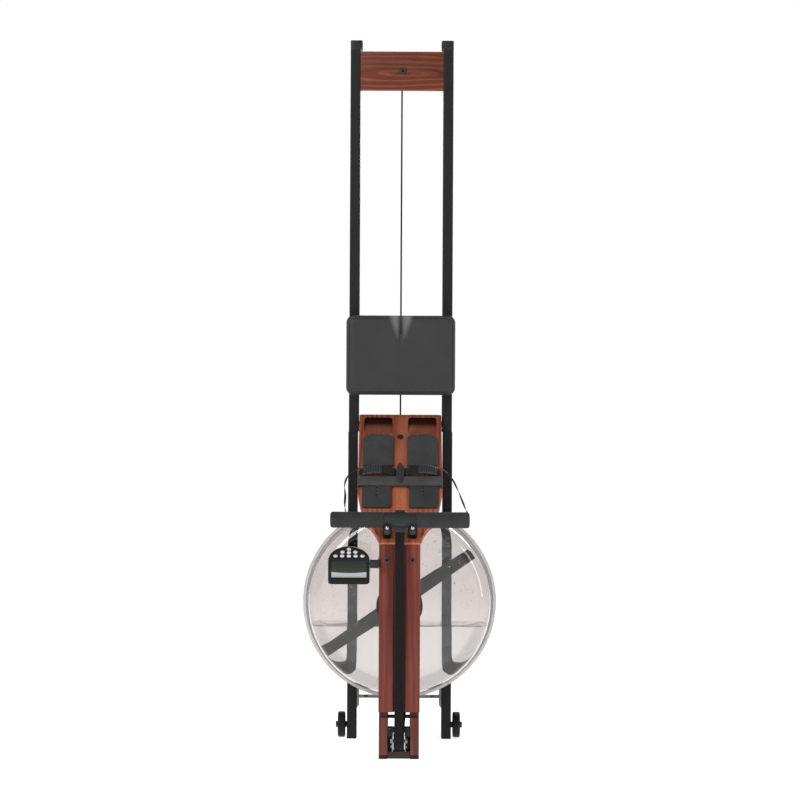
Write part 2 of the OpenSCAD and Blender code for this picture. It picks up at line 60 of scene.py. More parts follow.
# Driving places, from the frame
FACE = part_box("seat_rail_left")[0].y             # rails' front face
TANK_LO, TANK_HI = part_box("tank_front_shell")
TANK_Z = (TANK_LO.z + TANK_HI.z) / 2
TANK_R = (TANK_HI.z - TANK_LO.z) / 2
BACK_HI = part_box("tank_rear_shell")[1]
TANK_FRONT = TANK_LO.y
TANK_BACK = BACK_HI.y
TANK_MID = (TANK_FRONT + TANK_BACK) / 2
WATER_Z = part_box("water")[1].z
HEEL_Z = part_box("footboard")[1].z

SLANT = math.radians(45)                          # slope of the footboard, as in the CAD
EYE_AWAY = 6.2                                    # camera to the rails' front face
EYE_X, EYE_Z = -0.0015, 1.019
LENS = 92.8
LEAN = math.radians(-0.29)                        # the machine leans so much in the photograph


# ---------------------------------------------------------------- camera and stage
def make_camera():
    cam = bpy.data.cameras.new("camera")
    cam.lens = LENS
    cam.sensor_width = 36
    cam.clip_end = 60
    eye = bpy.data.objects.new("camera", cam)
    eye.location = (EYE_X, FACE - EYE_AWAY, EYE_Z)
    eye.rotation_euler = (math.radians(90), LEAN, 0)
    bpy.context.scene.collection.objects.link(eye)
    bpy.context.scene.camera = eye


def area_light(name, place, target, size, power, colour=(1, 1, 1)):
    data = bpy.data.lights.new(name, "AREA")
    data.shape = "RECTANGLE"
    data.size, data.size_y = size
    data.energy = power
    data.color = colour
    lamp = bpy.data.objects.new(name, data)
    lamp.location = place
    lamp.rotation_euler = (Vector(target) - Vector(place)).to_track_quat("-Z", "Y").to_euler()
    bpy.context.scene.collection.objects.link(lamp)


def make_stage():
    mesh = bpy.data.meshes.new("floor")
    half = 30
    corners = [(-half, -half, 0), (half, -half, 0), (half, half, 0), (-half, half, 0)]
    mesh.from_pydata(corners, [], [(0, 1, 2, 3)])
    floor = bpy.data.objects.new("floor", mesh)
    bpy.context.scene.collection.objects.link(floor)
    mat, tree, shader = new_material("floor_paint")
    feed(shader, {"Base Color": (0.5, 0.5, 0.5, 1), "Roughness": 0.9, "Specular IOR Level": 0.1,
                  "Emission Color": (1, 1, 1, 1), "Emission Strength": 0.88})
    mesh.materials.append(mat)

    world = bpy.data.worlds.new("studio")
    bpy.context.scene.world = world
    world.use_nodes = True
    tree = world.node_tree
    tree.nodes.clear()
    out = tree.nodes.new("ShaderNodeOutputWorld")
    path = tree.nodes.new("ShaderNodeLightPath")
    seen = tree.nodes.new("ShaderNodeMath")
    seen.operation = "MAXIMUM"
    feed(seen, {0: path.outputs["Is Camera Ray"], 1: path.outputs["Is Transmission Ray"]})
    level = tree.nodes.new("ShaderNodeMapRange")
    feed(level, {"To Min": 0.27, "To Max": 1.0, "Value": seen.outputs[0]})
    back = tree.nodes.new("ShaderNodeBackground")
    feed(back, {"Color": (1, 1, 1, 1), "Strength": level.outputs["Result"]})
    feed(out, {"Surface": back.outputs[0]})

    area_light("key", (-2.6, -3.6, 3.4), (0, 0, 1.0), (1.8, 2.6), 118)
    area_light("fill", (3.2, -3.2, 1.6), (0, 0, 0.9), (1.0, 2.6), 42)
    area_light("rim", (1.2, 3.2, 2.8), (0, 0, 1.1), (3.0, 1.6), 60)
    bpy.context.scene.view_settings.view_transform = "Standard"


# ---------------------------------------------------------------- material helpers
def new_material(name):
    mat = bpy.data.materials.new(name)
    mat.use_nodes = True
    tree = mat.node_tree
    return mat, tree, tree.nodes["Principled BSDF"]


def feed(node, values):
    """Sets the named or numbered inputs of a node, or links outputs to them."""
    for name, value in values.items():
        if isinstance(value, bpy.types.NodeSocket):
            node.id_data.links.new(value, node.inputs[name])
        else:
            node.inputs[name].default_value = value


def coords(tree, scale=(1, 1, 1), turn=(0, 0, 0), shift=(0, 0, 0)):
    """Object coordinates, turned and shifted first and stretched afterwards."""
    source = tree.nodes.new("ShaderNodeTexCoord")
    vector = source.outputs["Object"]
    for socket, value in (("Rotation", turn), ("Location", shift), ("Scale", scale)):
        mapping = tree.nodes.new("ShaderNodeMapping")
        feed(mapping, {socket: value, "Vector": vector})
        vector = mapping.outputs["Vector"]
    return vector


def noise(tree, vector, scale, detail=3.0, rough=0.5, distortion=0.0):
    node = tree.nodes.new("ShaderNodeTexNoise")
    feed(node, {"Scale": scale, "Detail": detail, "Roughness": rough, "Distortion": distortion,
                "Vector": vector})
    return node.outputs["Fac"]


def voronoi(tree, vector, scale, feature="F1"):
    node = tree.nodes.new("ShaderNodeTexVoronoi")
    node.feature = feature
    feed(node, {"Scale": scale, "Vector": vector})
    return node.outputs["Distance"]


def wave(tree, vector, scale, kind="BANDS", direction="X", distortion=0.0, detail=0.0, detail_scale=1.0):
    node = tree.nodes.new("ShaderNodeTexWave")
    node.wave_type = kind
    if kind == "BANDS":
        node.bands_direction = direction
    else:
        node.rings_direction = direction
    feed(node, {"Scale": scale, "Distortion": distortion, "Detail": detail,
                "Detail Scale": detail_scale, "Vector": vector})
    return node.outputs["Fac"]


def ramp(tree, value, stops):
    node = tree.nodes.new("ShaderNodeValToRGB")
    elements = node.color_ramp.elements
    while len(elements) < len(stops):
        elements.new(0.5)
    for element, (place, colour) in zip(elements, stops):
        element.position = place
        element.color = (*colour, 1) if len(colour) == 3 else colour
    feed(node, {"Fac": value})
    return node.outputs["Color"]


def rise(tree, value, low, high, start=0.0, end=1.0):
    node = tree.nodes.new("ShaderNodeMapRange")
    feed(node, {"From Min": start, "From Max": end, "To Min": low, "To Max": high, "Value": value})
    return node.outputs["Result"]


def blend_colour(tree, factor, first, second, kind="MIX"):
    node = tree.nodes.new("ShaderNodeMix")
    node.data_type = "RGBA"
    node.blend_type = kind
    first, second = [(*c, 1) if isinstance(c, tuple) else c for c in (first, second)]
    feed(node, {0: factor, 6: first, 7: second})
    return node.outputs[2]


def maths(tree, operation, first, second):
    node = tree.nodes.new("ShaderNodeMath")
    node.operation = operation
    feed(node, {0: first, 1: second})
    return node.outputs[0]


def bump(tree, height, distance, strength=1.0, under=None):
    node = tree.nodes.new("ShaderNodeBump")
    feed(node, {"Distance": distance, "Strength": strength, "Height": height})
    if under is not None:
        feed(node, {"Normal": under})
    return node.outputs["Normal"]


def tinted(colour, gain):
    """The colour made lighter or darker."""
    return tuple(c * gain for c in colour)


def edge_wear(tree, amount=0.5):
    """0 on flats and up to 1 on convex edges."""
    node = tree.nodes.new("ShaderNodeNewGeometry")
    return rise(tree, node.outputs["Pointiness"], 0.0, amount, 0.52, 0.6)


# ---------------------------------------------------------------- materials
def wood(name, grain, dark, middle, light, turn=(0, 0, 0), shift=(0, 0, 0), rings=16.0,
         figure=0.72, wander=7.0, painted_light_by_height=None):
    """Varnished, stained hardwood with its grain along one axis.

    rings sets how close the growth rings lie, figure how strongly they show, and wander how far
    they stray. painted_light_by_height is (low z, high z, gain at low z, gain at high z), painted light and
    shade by height.
    """
    mat, tree, shader = new_material(name)
    along = {"X": 0, "Y": 1, "Z": 2}[grain]
    stretch = [1.0, 1.0, 1.0]
    stretch[along] = 0.09
    vector = coords(tree, stretch, turn, shift)
    warp = noise(tree, vector, 9, 3, 0.55)
    growth = wave(tree, vector, rings, "RINGS", grain, wander, 3.0, 1.4)
    level = maths(tree, "ADD", maths(tree, "MULTIPLY", growth, figure),
                  maths(tree, "MULTIPLY", warp, 1.06 - figure))
    colour = ramp(tree, level, [(0.18, dark), (0.42, middle), (0.62, middle), (0.92, light)])
    fine = [240.0, 240.0, 240.0]
    fine[along] = 7.0
    pore_vector = coords(tree, fine, turn, shift)
    pores = noise(tree, pore_vector, 4.5, 4, 0.7)
    pore_mask = ramp(tree, pores, [(0.30, (1, 1, 1)), (0.43, (0, 0, 0))])
    pore_cover = maths(tree, "MULTIPLY", pore_mask, 0.55)
    colour = blend_colour(tree, pore_cover, colour, tinted(dark, 0.35))
    broad = noise(tree, coords(tree, (1, 1, 1), turn, shift), 6.0, 2)
    colour = blend_colour(tree, rise(tree, broad, 0.0, 0.35, 0.4, 0.75), colour, light, "SOFT_LIGHT")
    # painted light and shade: the colour is scaled up or down with height
    if painted_light_by_height:
        parts = tree.nodes.new("ShaderNodeSeparateXYZ")
        feed(parts, {0: coords(tree)})
        gain = rise(tree, parts.outputs["Z"], painted_light_by_height[2], painted_light_by_height[3], painted_light_by_height[0], painted_light_by_height[1])
        scaled = tree.nodes.new("ShaderNodeVectorMath")
        scaled.operation = "SCALE"
        feed(scaled, {0: colour, "Scale": gain})
        colour = scaled.outputs[0]
    worn = edge_wear(tree, 0.45)
    colour = blend_colour(tree, worn, colour, tuple(min(1, c * 1.5) for c in light))
    feed(shader, {"Base Color": colour, "Roughness": rise(tree, pores, 0.52, 0.36),
                  "Specular IOR Level": 0.2, "Coat Weight": 0.08, "Coat Roughness": 0.3})
    grooves = maths(tree, "SUBTRACT", 1.0, pore_mask)
    normal = bump(tree, grooves, 0.00022, 0.6)
    feed(shader, {"Normal": normal})
    return mat


def powder_coat(name, shade, grain=1400.0, rough=0.46):
    """Black powder-coated steel: fine orange peel, faint rubbed edges."""
    mat, tree, shader = new_material(name)
    vector = coords(tree)
    broad = noise(tree, vector, 5.0, 3)
    speck = noise(tree, vector, grain, 2)
    base = blend_colour(tree, rise(tree, broad, 0.0, 1.0, 0.3, 0.7), shade, tinted(shade, 1.35))
    base = blend_colour(tree, edge_wear(tree, 0.5), base, tuple(c * 3.0 + 0.01 for c in shade))
    feed(shader, {"Base Color": base,
                  "Roughness": rise(tree, broad, rough - 0.06, rough + 0.08, 0.3, 0.7),
                  "Specular IOR Level": 0.15})
    peel = bump(tree, noise(tree, vector, 320.0, 2), 0.00012, 0.4)
    feed(shader, {"Normal": bump(tree, speck, 0.00004, 0.5, peel)})
    return mat


def moulded(name, shade, rough=0.5, grain=900.0, depth=0.00006, gloss=0.3, wear=0.4):
    """Injection-moulded plastic with a spark-eroded texture."""
    mat, tree, shader = new_material(name)
    vector = coords(tree)
    cells = voronoi(tree, vector, grain)
    broad = noise(tree, vector, 14.0, 3)
    base = blend_colour(tree, rise(tree, broad, 0.0, 1.0, 0.3, 0.7), shade, tinted(shade, 1.28))
    base = blend_colour(tree, edge_wear(tree, wear), base, tuple(c * 2.2 + 0.012 for c in shade))
    feed(shader, {"Base Color": base,
                  "Roughness": rise(tree, cells, rough + 0.05, rough - 0.05, 0.0, 0.8),
                  "Specular IOR Level": gloss, "Normal": bump(tree, cells, depth, 0.7)})
    return mat


def rubbery(name, shade, grain=520.0, depth=0.00018, rough=0.72):
    """Foam or rubber with a soft pebbled skin."""
    mat, tree, shader = new_material(name)
    vector = coords(tree)
    pebbles = voronoi(tree, vector, grain, "SMOOTH_F1")
    dust = noise(tree, vector, 24.0, 5, 0.6)
    base = blend_colour(tree, rise(tree, dust, 0.0, 1.0, 0.35, 0.75), shade, tinted(shade, 1.45))
    feed(shader, {"Base Color": base, "Roughness": rise(tree, dust, rough, rough + 0.12),
                  "Specular IOR Level": 0.28, "Sheen Weight": 0.08,
                  "Normal": bump(tree, pebbles, depth, 0.8)})
    return mat


def webbing(name, shade, along="X", pitch=1.6 * MM, across="Z"):
    """Woven strap: ribs across its length and a fine twill."""
    mat, tree, shader = new_material(name)
    vector = coords(tree)
    ribs = wave(tree, vector, 0.5 / pitch, "BANDS", along, 0.4, 1.0, 4.0)
    cross = wave(tree, vector, 0.35 / pitch, "BANDS", across, 0.4, 1.0, 4.0)
    weave = maths(tree, "MULTIPLY", ribs, rise(tree, cross, 0.55, 1.0))
    fuzz = noise(tree, vector, 900.0, 4, 0.7)
    base = blend_colour(tree, weave, tinted(shade, 0.45), tinted(shade, 1.5))
    base = blend_colour(tree, rise(tree, fuzz, 0.0, 0.3, 0.4, 0.8), base, tinted(shade, 2.4))
    feed(shader, {"Base Color": base, "Roughness": 0.86, "Specular IOR Level": 0.2,
                  "Sheen Weight": 0.08, "Sheen Roughness": 0.4,
                  "Normal": bump(tree, weave, 0.0003, 0.8)})
    return mat


def vinyl(name, shade):
    """Seat cover: grained synthetic leather, with a painted highlight on the groove's lips.

    The sides carry a painted highlight and the lower edge a painted shade.
    """
    mat, tree, shader = new_material(name)
    vector = coords(tree)
    cells = voronoi(tree, vector, 420.0, "DISTANCE_TO_EDGE")
    creases = ramp(tree, cells, [(0.0, (0, 0, 0)), (0.16, (1, 1, 1))])
    broad = noise(tree, vector, 7.0, 4, 0.6)
    base = blend_colour(tree, rise(tree, broad, 0.0, 1.0, 0.3, 0.72), shade, tinted(shade, 1.22))
    base = blend_colour(tree, rise(tree, creases, 0.35, 0.0), base, tinted(shade, 0.5))
    parts = tree.nodes.new("ShaderNodeSeparateXYZ")
    feed(parts, {0: vector})
    low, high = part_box("seat_pad")
    rising = rise(tree, parts.outputs["Z"], 0.0, 1.0, high.z - 0.075, high.z - 0.004)
    off = maths(tree, "ABSOLUTE", parts.outputs["X"], 0.0)
    # painted highlight: wedge-shaped lighter patches along the groove's lips
    ridge = maths(tree, "ADD", maths(tree, "MULTIPLY", rising, 0.011), 0.008)
    spread = maths(tree, "ADD", maths(tree, "MULTIPLY", rising, 0.015), 0.006)
    away = maths(tree, "ABSOLUTE", maths(tree, "SUBTRACT", off, ridge), 0.0)
    wedge = maths(tree, "SUBTRACT", 1.0, maths(tree, "DIVIDE", away, spread))
    painted_lip_highlight = maths(tree, "MULTIPLY", maths(tree, "MAXIMUM", wedge, 0.0), rising)
    base = blend_colour(tree, painted_lip_highlight, base, tinted(shade, 6.5))
    # painted highlight along the side edges
    side = rise(tree, off, 0.0, 0.8, high.x - 0.0035, high.x - 0.0012)
    base = blend_colour(tree, side, base, tinted(shade, 4.0))
    # painted shade along the lower edge
    under = rise(tree, parts.outputs["Z"], 0.85, 0.0, low.z + 0.003, low.z + 0.010)
    base = blend_colour(tree, under, base, tinted(shade, 0.2))
    feed(shader, {"Base Color": base, "Roughness": rise(tree, broad, 0.5, 0.62),
                  "Specular IOR Level": 0.36})
    folds = bump(tree, broad, 0.0012, 0.25)
    feed(shader, {"Normal": bump(tree, creases, 0.00012, 0.55, folds)})
    return mat


def metal(name, shade, rough=0.3, brushed="X"):
    """Plated or ground steel with fine brush marks."""
    mat, tree, shader = new_material(name)
    scale = {"X": (30, 900, 900), "Y": (900, 30, 900), "Z": (900, 900, 30)}[brushed]
    marks = noise(tree, coords(tree, scale), 1.0, 4, 0.6)
    stain = noise(tree, coords(tree), 60.0, 3)
    base = blend_colour(tree, rise(tree, stain, 0.0, 0.6, 0.35, 0.75), shade, tinted(shade, 0.7))
    feed(shader, {"Base Color": base, "Metallic": 1.0,
                  "Roughness": rise(tree, marks, rough - 0.08, rough + 0.12),
                  "Normal": bump(tree, marks, 0.00003, 0.5)})
    return mat


def clear_plastic(name):
    """Clear, faintly smoky tank wall."""
    mat, tree, shader = new_material(name)
    vector = coords(tree)
    haze = noise(tree, vector, 5.0, 4, 0.6)
    clear, hazy = (0.80, 0.765, 0.752), (0.77, 0.735, 0.725)
    base = blend_colour(tree, rise(tree, haze, 0.0, 1.0, 0.3, 0.7), clear, hazy)
    feed(shader, {"Base Color": base, "Roughness": rise(tree, haze, 0.0, 0.035, 0.35, 0.8),
                  "Transmission Weight": 1.0, "IOR": 1.46})
    return mat


def frosted(name, shade, cover):
    """Milky clear plastic or silicone: light passes, shapes behind it blur into its own colour."""
    mat, tree, shader = new_material(name)
    cloud = noise(tree, coords(tree), 8.0, 2)
    base = blend_colour(tree, rise(tree, cloud, 0.0, 1.0, 0.3, 0.7), shade, tinted(shade, 0.95))
    feed(shader, {"Base Color": base, "Roughness": 0.3, "Specular IOR Level": 0.5,
                  "Alpha": rise(tree, cloud, cover - 0.02, cover + 0.02)})
    return mat


def clear_water(name):
    """Clear water with a faint ripple."""
    mat, tree, shader = new_material(name)
    ripples = noise(tree, coords(tree, (1, 1, 1)), 22.0, 2)
    crest, trough = (0.965, 0.99, 0.985), (0.94, 0.97, 0.965)
    base = blend_colour(tree, rise(tree, ripples, 0.0, 1.0, 0.3, 0.7), crest, trough)
    feed(shader, {"Base Color": base, "Roughness": 0.0, "Transmission Weight": 1.0, "IOR": 1.33,
                  "Normal": bump(tree, ripples, 0.0006, 0.3)})
    return mat


def display_glass(name, low, high):
    """Dark green display under a clear window, with a painted reflection of something bright on its lower
    part.
    """
    mat, tree, shader = new_material(name)
    source = tree.nodes.new("ShaderNodeTexCoord")
    parts = tree.nodes.new("ShaderNodeSeparateXYZ")
    feed(parts, {0: source.outputs["Object"]})
    height = rise(tree, parts.outputs["Z"], 0.0, 1.0, low.z, high.z)
    middle = (low.x + high.x) / 2
    off = maths(tree, "ABSOLUTE", maths(tree, "SUBTRACT", parts.outputs["X"], middle), 0.0)
    bow = maths(tree, "MULTIPLY", maths(tree, "POWER", off, 2.0), 26.0)
    level = maths(tree, "SUBTRACT", height, bow)
    # painted reflection: light grey over the display's lower part, bounded by a bow
    painted_reflection = [(0.0, (0.36, 0.38, 0.40)), (0.10, (0.42, 0.44, 0.45)), (0.235, (0.46, 0.51, 0.49))]
    dark = [(0.28, (0.03, 0.038, 0.027)), (0.6, (0.021, 0.027, 0.018)), (1.0, (0.012, 0.013, 0.010))]
    panel = ramp(tree, level, painted_reflection + dark)
    lines = wave(tree, coords(tree), 160.0, "BANDS", "Z")
    panel = blend_colour(tree, rise(tree, lines, 0.0, 0.12), panel, (0.02, 0.025, 0.02))
    feed(shader, {"Base Color": panel, "Roughness": 0.14, "Specular IOR Level": 0.22,
                  "Coat Weight": 0.08, "Coat Roughness": 0.03})
    return mat


make_camera()
make_stage()

MATS = {}


def build_materials():
    MATS["crossmember"] = wood("wood_crossmember", "X", (0.035, 0.008, 0.004), (0.130, 0.032, 0.016),
                               (0.30, 0.088, 0.042), (0.0, 0.0, 0.11), (0.05, -0.129, -2.000),
                               22.0, 0.40, 5.5)
    # painted light on the board: lighter towards the bottom, painted shade near the top
    MATS["board"] = wood("wood_board", "Y", (0.12, 0.028, 0.013), (0.285, 0.078, 0.042),
                         (0.46, 0.150, 0.078), (-SLANT, 0.0, 0.03), (0.012, 0.0, -0.545), 26.0, 0.42, 4.0,
                         (0.66, 0.93, 1.75, 0.85))
    # painted shade on the heel scoops' floors: near black just under their top walls
    MATS["scoop"] = wood("wood_scoop", "Y", (0.10, 0.026, 0.013), (0.22, 0.062, 0.034),
                         (0.38, 0.125, 0.068), (-SLANT, 0.0, 0.03), (0.012, 0.0, -0.545), 9.0, 0.22, 2.0,
                         (0.934, 0.949, 1.1, 0.10))
    # painted light: the deck grows lighter towards its top
    MATS["deck"] = wood("wood_deck", "Z", (0.050, 0.0095, 0.0065), (0.142, 0.030, 0.021),
                        (0.20, 0.050, 0.034), (0.012, 0.016, 0.0), (0.012, 0.19, 0.0), 26.0, 0.5, 6.0,
                        (0.40, 0.60, 1.0, 1.3))
    MATS["cheek"] = wood("wood_cheek", "Z", (0.040, 0.0095, 0.0065), (0.115, 0.029, 0.021),
                         (0.18, 0.056, 0.038), (0.02, 0.012, 0.0), (0.0, 0.15, 0.0), 24.0, 0.5, 6.0)
    # darker end grain plus painted shade, for the heel openings' top walls
    MATS["end_grain_and_painted_shade"] = wood("wood_shaded", "X", (0.006, 0.002, 0.0015), (0.014, 0.005, 0.004),
                         (0.03, 0.01, 0.008))
    MATS["rail"] = powder_coat("powder_coat", (0.0055, 0.0056, 0.0057))
    MATS["steel"] = powder_coat("black_steel", (0.016, 0.016, 0.017), 1100.0, 0.5)
    MATS["cap"] = moulded("cap_plastic", (0.009, 0.009, 0.009), 0.52)
    # real black on the nose bracket; painted shade in the screw sockets
    MATS["socket"] = moulded("black_and_socket_shade", (0.004, 0.004, 0.004), 0.6)
    MATS["rim"] = frosted("tank_rim", (0.93, 0.90, 0.885), 0.62)
    # painted shade: dark rim edge and dark ring, in place of shading by refraction
    MATS["rim_edge"] = frosted("tank_rim_edge", (0.22, 0.20, 0.19), 0.72)
    MATS["rim_inside"] = frosted("tank_rim_inside", (0.34, 0.31, 0.30), 0.42)
    MATS["nose"] = powder_coat("brown_coat", (0.030, 0.019, 0.016), 1100.0, 0.55)
    MATS["tie"] = powder_coat("grey_coat", (0.20, 0.195, 0.19))
    MATS["black"] = moulded("black_plastic", (0.016, 0.016, 0.016), 0.48)
    MATS["glossy"] = moulded("glossy_plastic", (0.01, 0.01, 0.01), 0.24, 700.0, 0.00002, 0.5)
    MATS["grey"] = moulded("grey_plastic", (0.034, 0.034, 0.034), 0.52)
    MATS["monitor"] = moulded("monitor_plastic", (0.0062, 0.006, 0.006), 0.42, 1300.0, 0.00004, 0.22)
    MATS["wheel"] = moulded("wheel_plastic", (0.0095, 0.0095, 0.0095), 0.56, gloss=0.2)
    MATS["paddle"] = moulded("paddle_plastic", (0.02, 0.0195, 0.019), 0.42, 500.0)
    MATS["toe"] = moulded("toe_plastic", (0.036, 0.036, 0.037), 0.6, 620.0, 0.0001)
    MATS["clip"] = moulded("clip_plastic", (0.026, 0.027, 0.029), 0.3, 900.0, 0.00003, 0.5)
    MATS["rubber"] = rubbery("rubber", (0.012, 0.012, 0.012))
    MATS["pad"] = rubbery("heel_rubber", (0.038, 0.038, 0.039), 380.0, 0.00025)
    MATS["foam"] = rubbery("grip_foam", (0.026, 0.026, 0.026), 760.0, 0.0002, 0.8)
    MATS["core"] = moulded("handle_core", (0.018, 0.0205, 0.021), 0.5, 800.0, gloss=0.25)
    MATS["band"] = rubbery("band_rubber", (0.052, 0.052, 0.053), 600.0, 0.00015)
    MATS["strap"] = webbing("strap_webbing", (0.02, 0.02, 0.021), "X", 1.8 * MM, "Z")
    MATS["belt"] = webbing("belt_webbing", (0.0085, 0.0088, 0.0092), "Z", 2.0 * MM, "X")
    MATS["cord"] = webbing("cord_braid", (0.014, 0.014, 0.014), "Z", 2.4 * MM, "X")
    MATS["seat"] = vinyl("seat_vinyl", (0.028, 0.028, 0.028))
    MATS["zinc"] = metal("zinc_plate", (0.30, 0.31, 0.325), 0.46, "Z")
    MATS["bolt"] = metal("black_bolt", (0.09, 0.09, 0.09), 0.36, "Z")
    MATS["chrome"] = metal("bright_screw", (0.55, 0.55, 0.56), 0.2, "X")
    MATS["shaft"] = metal("ground_shaft", (0.6, 0.6, 0.61), 0.24, "Y")
    MATS["tank"] = clear_plastic("tank_plastic")
    MATS["water"] = clear_water("tank_water")
    MATS["gasket"] = frosted("gasket_silicone", (0.66, 0.60, 0.58), 0.25)
    MATS["display"] = display_glass("display", *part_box("monitor_screen"))
    MATS["key"] = moulded("silver_key", (0.55, 0.55, 0.56), 0.3, 900.0, 0.00003, 0.6, 0.2)
    MATS["key"].node_tree.nodes["Principled BSDF"].inputs["Metallic"].default_value = 0.55


build_materials()

NODE_LOOKS = {
    "seat_rail_left": "rail", "seat_rail_right": "rail", "front_rail_left": "rail",
    "front_rail_right": "rail", "rail_splices": "steel", "rail_end_caps": "cap",
    "rear_crossmember": "crossmember", "legs": "rail", "rubber_feet": "rubber",
    "front_tie_plate": "tie", "footboard": "board", "beam_deck": "deck", "beam_cheeks": "cheek",
    "nose_crossbar": "nose", "tank_front_shell": "tank", "tank_rear_shell": "tank",
    "tank_gasket": "gasket", "tank_standoffs": "rubber", "water": "water",
    "bearing_housings": "black", "pulley_bracket": "zinc", "handle_hooks": "glossy",
    "fasteners": "bolt", "monitor_arm": "black", "guide_brackets": "steel", "bungee_cord": "cord",
    "heel_pads": "pad", "foot_straps": "strap", "toe_band": "band", "strap_clip": "clip",
    "wheel_axles": "bolt", "seat_pad": "seat", "seat_carriage": "steel",
    "seat_rollers_upper": "glossy", "seat_rollers_lower": "glossy", "handle_bar": "core",
    "handle_grips": "foam", "drive_belt": "belt", "belt_drum": "grey", "paddle_shaft": "shaft",
    "paddle": "paddle", "front_pulley": "grey", "guide_pulley_rear": "grey",
    "guide_pulley_front": "grey", "wheel_left": "wheel", "wheel_right": "wheel",
    "toe_plate_left": "toe", "toe_plate_right": "toe", "monitor_case": "monitor",
    "monitor_screen": "display",
}
NODE_LOOKS.update({f"key_{i}": "key" for i in range(1, 10)})


def dress(obj, look):
    obj.data.materials.clear()
    obj.data.materials.append(MATS[look])


for node_name, look in NODE_LOOKS.items():
    dress(NODES[node_name], look)


# ---------------------------------------------------------------- mesh helpers
BODIES = frame["record"]["behaviour"]["bodies"]
BODY_OF = {member: body for body, members in BODIES.items() for member in members}


def new_piece(name, mesh, look, smooth=35):
    """Puts a mesh in the scene, smooth below the given angle in degrees."""
    obj = bpy.data.objects.new(name, mesh)
    bpy.context.scene.collection.objects.link(obj)
    obj.data.materials.append(MATS[look])
    if smooth:
        mesh.polygons.foreach_set("use_smooth", [True] * len(mesh.polygons))
        mesh.set_sharp_from_angle(angle=math.radians(smooth))
    return obj


def stand_for(obj, node, ride=True):
    """The piece takes a CAD node's place and body."""
    if ride:
        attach(obj, BODY_OF[node])
    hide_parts(node)


def mesh_from(bm, name):
    """Turns a bmesh into a mesh and frees it."""
    mesh = bpy.data.meshes.new(name)
    bm.normal_update()
    bm.to_mesh(mesh)
    bm.free()
    return mesh


def refined(node, look, bevel=1.0 * MM, segments=3, angle=30):
    """A CAD node's own shape with rounded edges and smooth shading, in its place."""
    source = NODES[node].data
    bm = bmesh.new()
    verts = [bm.verts.new(v.co) for v in source.vertices]
    for poly in source.polygons:
        try:
            bm.faces.new([verts[i] for i in poly.vertices])
        except ValueError:
            pass
    bmesh.ops.remove_doubles(bm, verts=bm.verts, dist=0.00002)
    bmesh.ops.dissolve_degenerate(bm, dist=0.00002, edges=bm.edges)
    bmesh.ops.recalc_face_normals(bm, faces=bm.faces)
    bmesh.ops.dissolve_limit(bm, angle_limit=math.radians(0.6), verts=bm.verts, edges=bm.edges,
                             delimit={"NORMAL"})
    mesh = mesh_from(bm, node + "_shape")
    obj = new_piece(node + "_shape", mesh, look, 0)
    mod = obj.modifiers.new("round_edges", "BEVEL")
    mod.width = bevel
    mod.segments = segments
    mod.limit_method = "ANGLE"
    mod.angle_limit = math.radians(angle)
    mod.use_clamp_overlap = True
    mod.harden_normals = False
    apply_modifiers(obj)
    obj.data.polygons.foreach_set("use_smooth", [True] * len(obj.data.polygons))
    obj.data.set_sharp_from_angle(angle=math.radians(40))
    stand_for(obj, node)
    return obj


def repaint(obj, look, test):
    """Gives the faces that pass test(centre, normal) another material."""
    obj.data.materials.append(MATS[look])
    slot = len(obj.data.materials) - 1
    for poly in obj.data.polygons:
        if test(poly.center, poly.normal):
            poly.material_index = slot


def apply_modifiers(obj):
    graph = bpy.context.evaluated_depsgraph_get()
    graph.update()
    made = bpy.data.meshes.new_from_object(obj.evaluated_get(graph), depsgraph=graph)
    obj.modifiers.clear()
    old = obj.data
    obj.data = made
    bpy.data.meshes.remove(old)


def lathe(bm, profile, centre, axis="Y", steps=160, closed=True):
    """Revolves (radius, along) points round an axis through centre."""
    rings = []
    for i in range(steps):
        angle = 2 * math.pi * i / steps
        c, s = math.cos(angle), math.sin(angle)
        ring = []
        for radius, along in profile:
            if axis == "Y":
                place = (centre[0] + radius * c, along, centre[2] + radius * s)
            else:
                place = (along, centre[1] + radius * c, centre[2] + radius * s)
            ring.append(bm.verts.new(place))
        rings.append(ring)
    count = len(profile)
    pairs = count if closed else count - 1
    for i in range(steps):
        here, there = rings[i], rings[(i + 1) % steps]
        for j in range(pairs):
            k = (j + 1) % count
            bm.faces.new((here[j], there[j], there[k], here[k]))
    return rings


def join(bm, rings):
    """Faces between neighbouring rings of vertices."""
    for here, there in zip(rings, rings[1:]):
        for j in range(len(here)):
            k = (j + 1) % len(here)
            bm.faces.new((here[j], here[k], there[k], there[j]))


def tube(bm, rings):
    """Faces between neighbouring rings, with both ends closed."""
    join(bm, rings)
    bm.faces.new(rings[0][::-1])
    bm.faces.new(rings[-1])


def closed_piece(name, bm, look, smooth=35):
    """Turns a bmesh into a piece whose faces point outwards."""
    bmesh.ops.recalc_face_normals(bm, faces=bm.faces)
    return new_piece(name, mesh_from(bm, name), look, smooth)


def arc_points(cx, cy, radius, start, end, count):
    """Points on an arc, from one angle in degrees to another."""
    turns = [math.radians(start + (end - start) * i / count) for i in range(count + 1)]
    return [(cx + radius * math.cos(a), cy + radius * math.sin(a)) for a in turns]


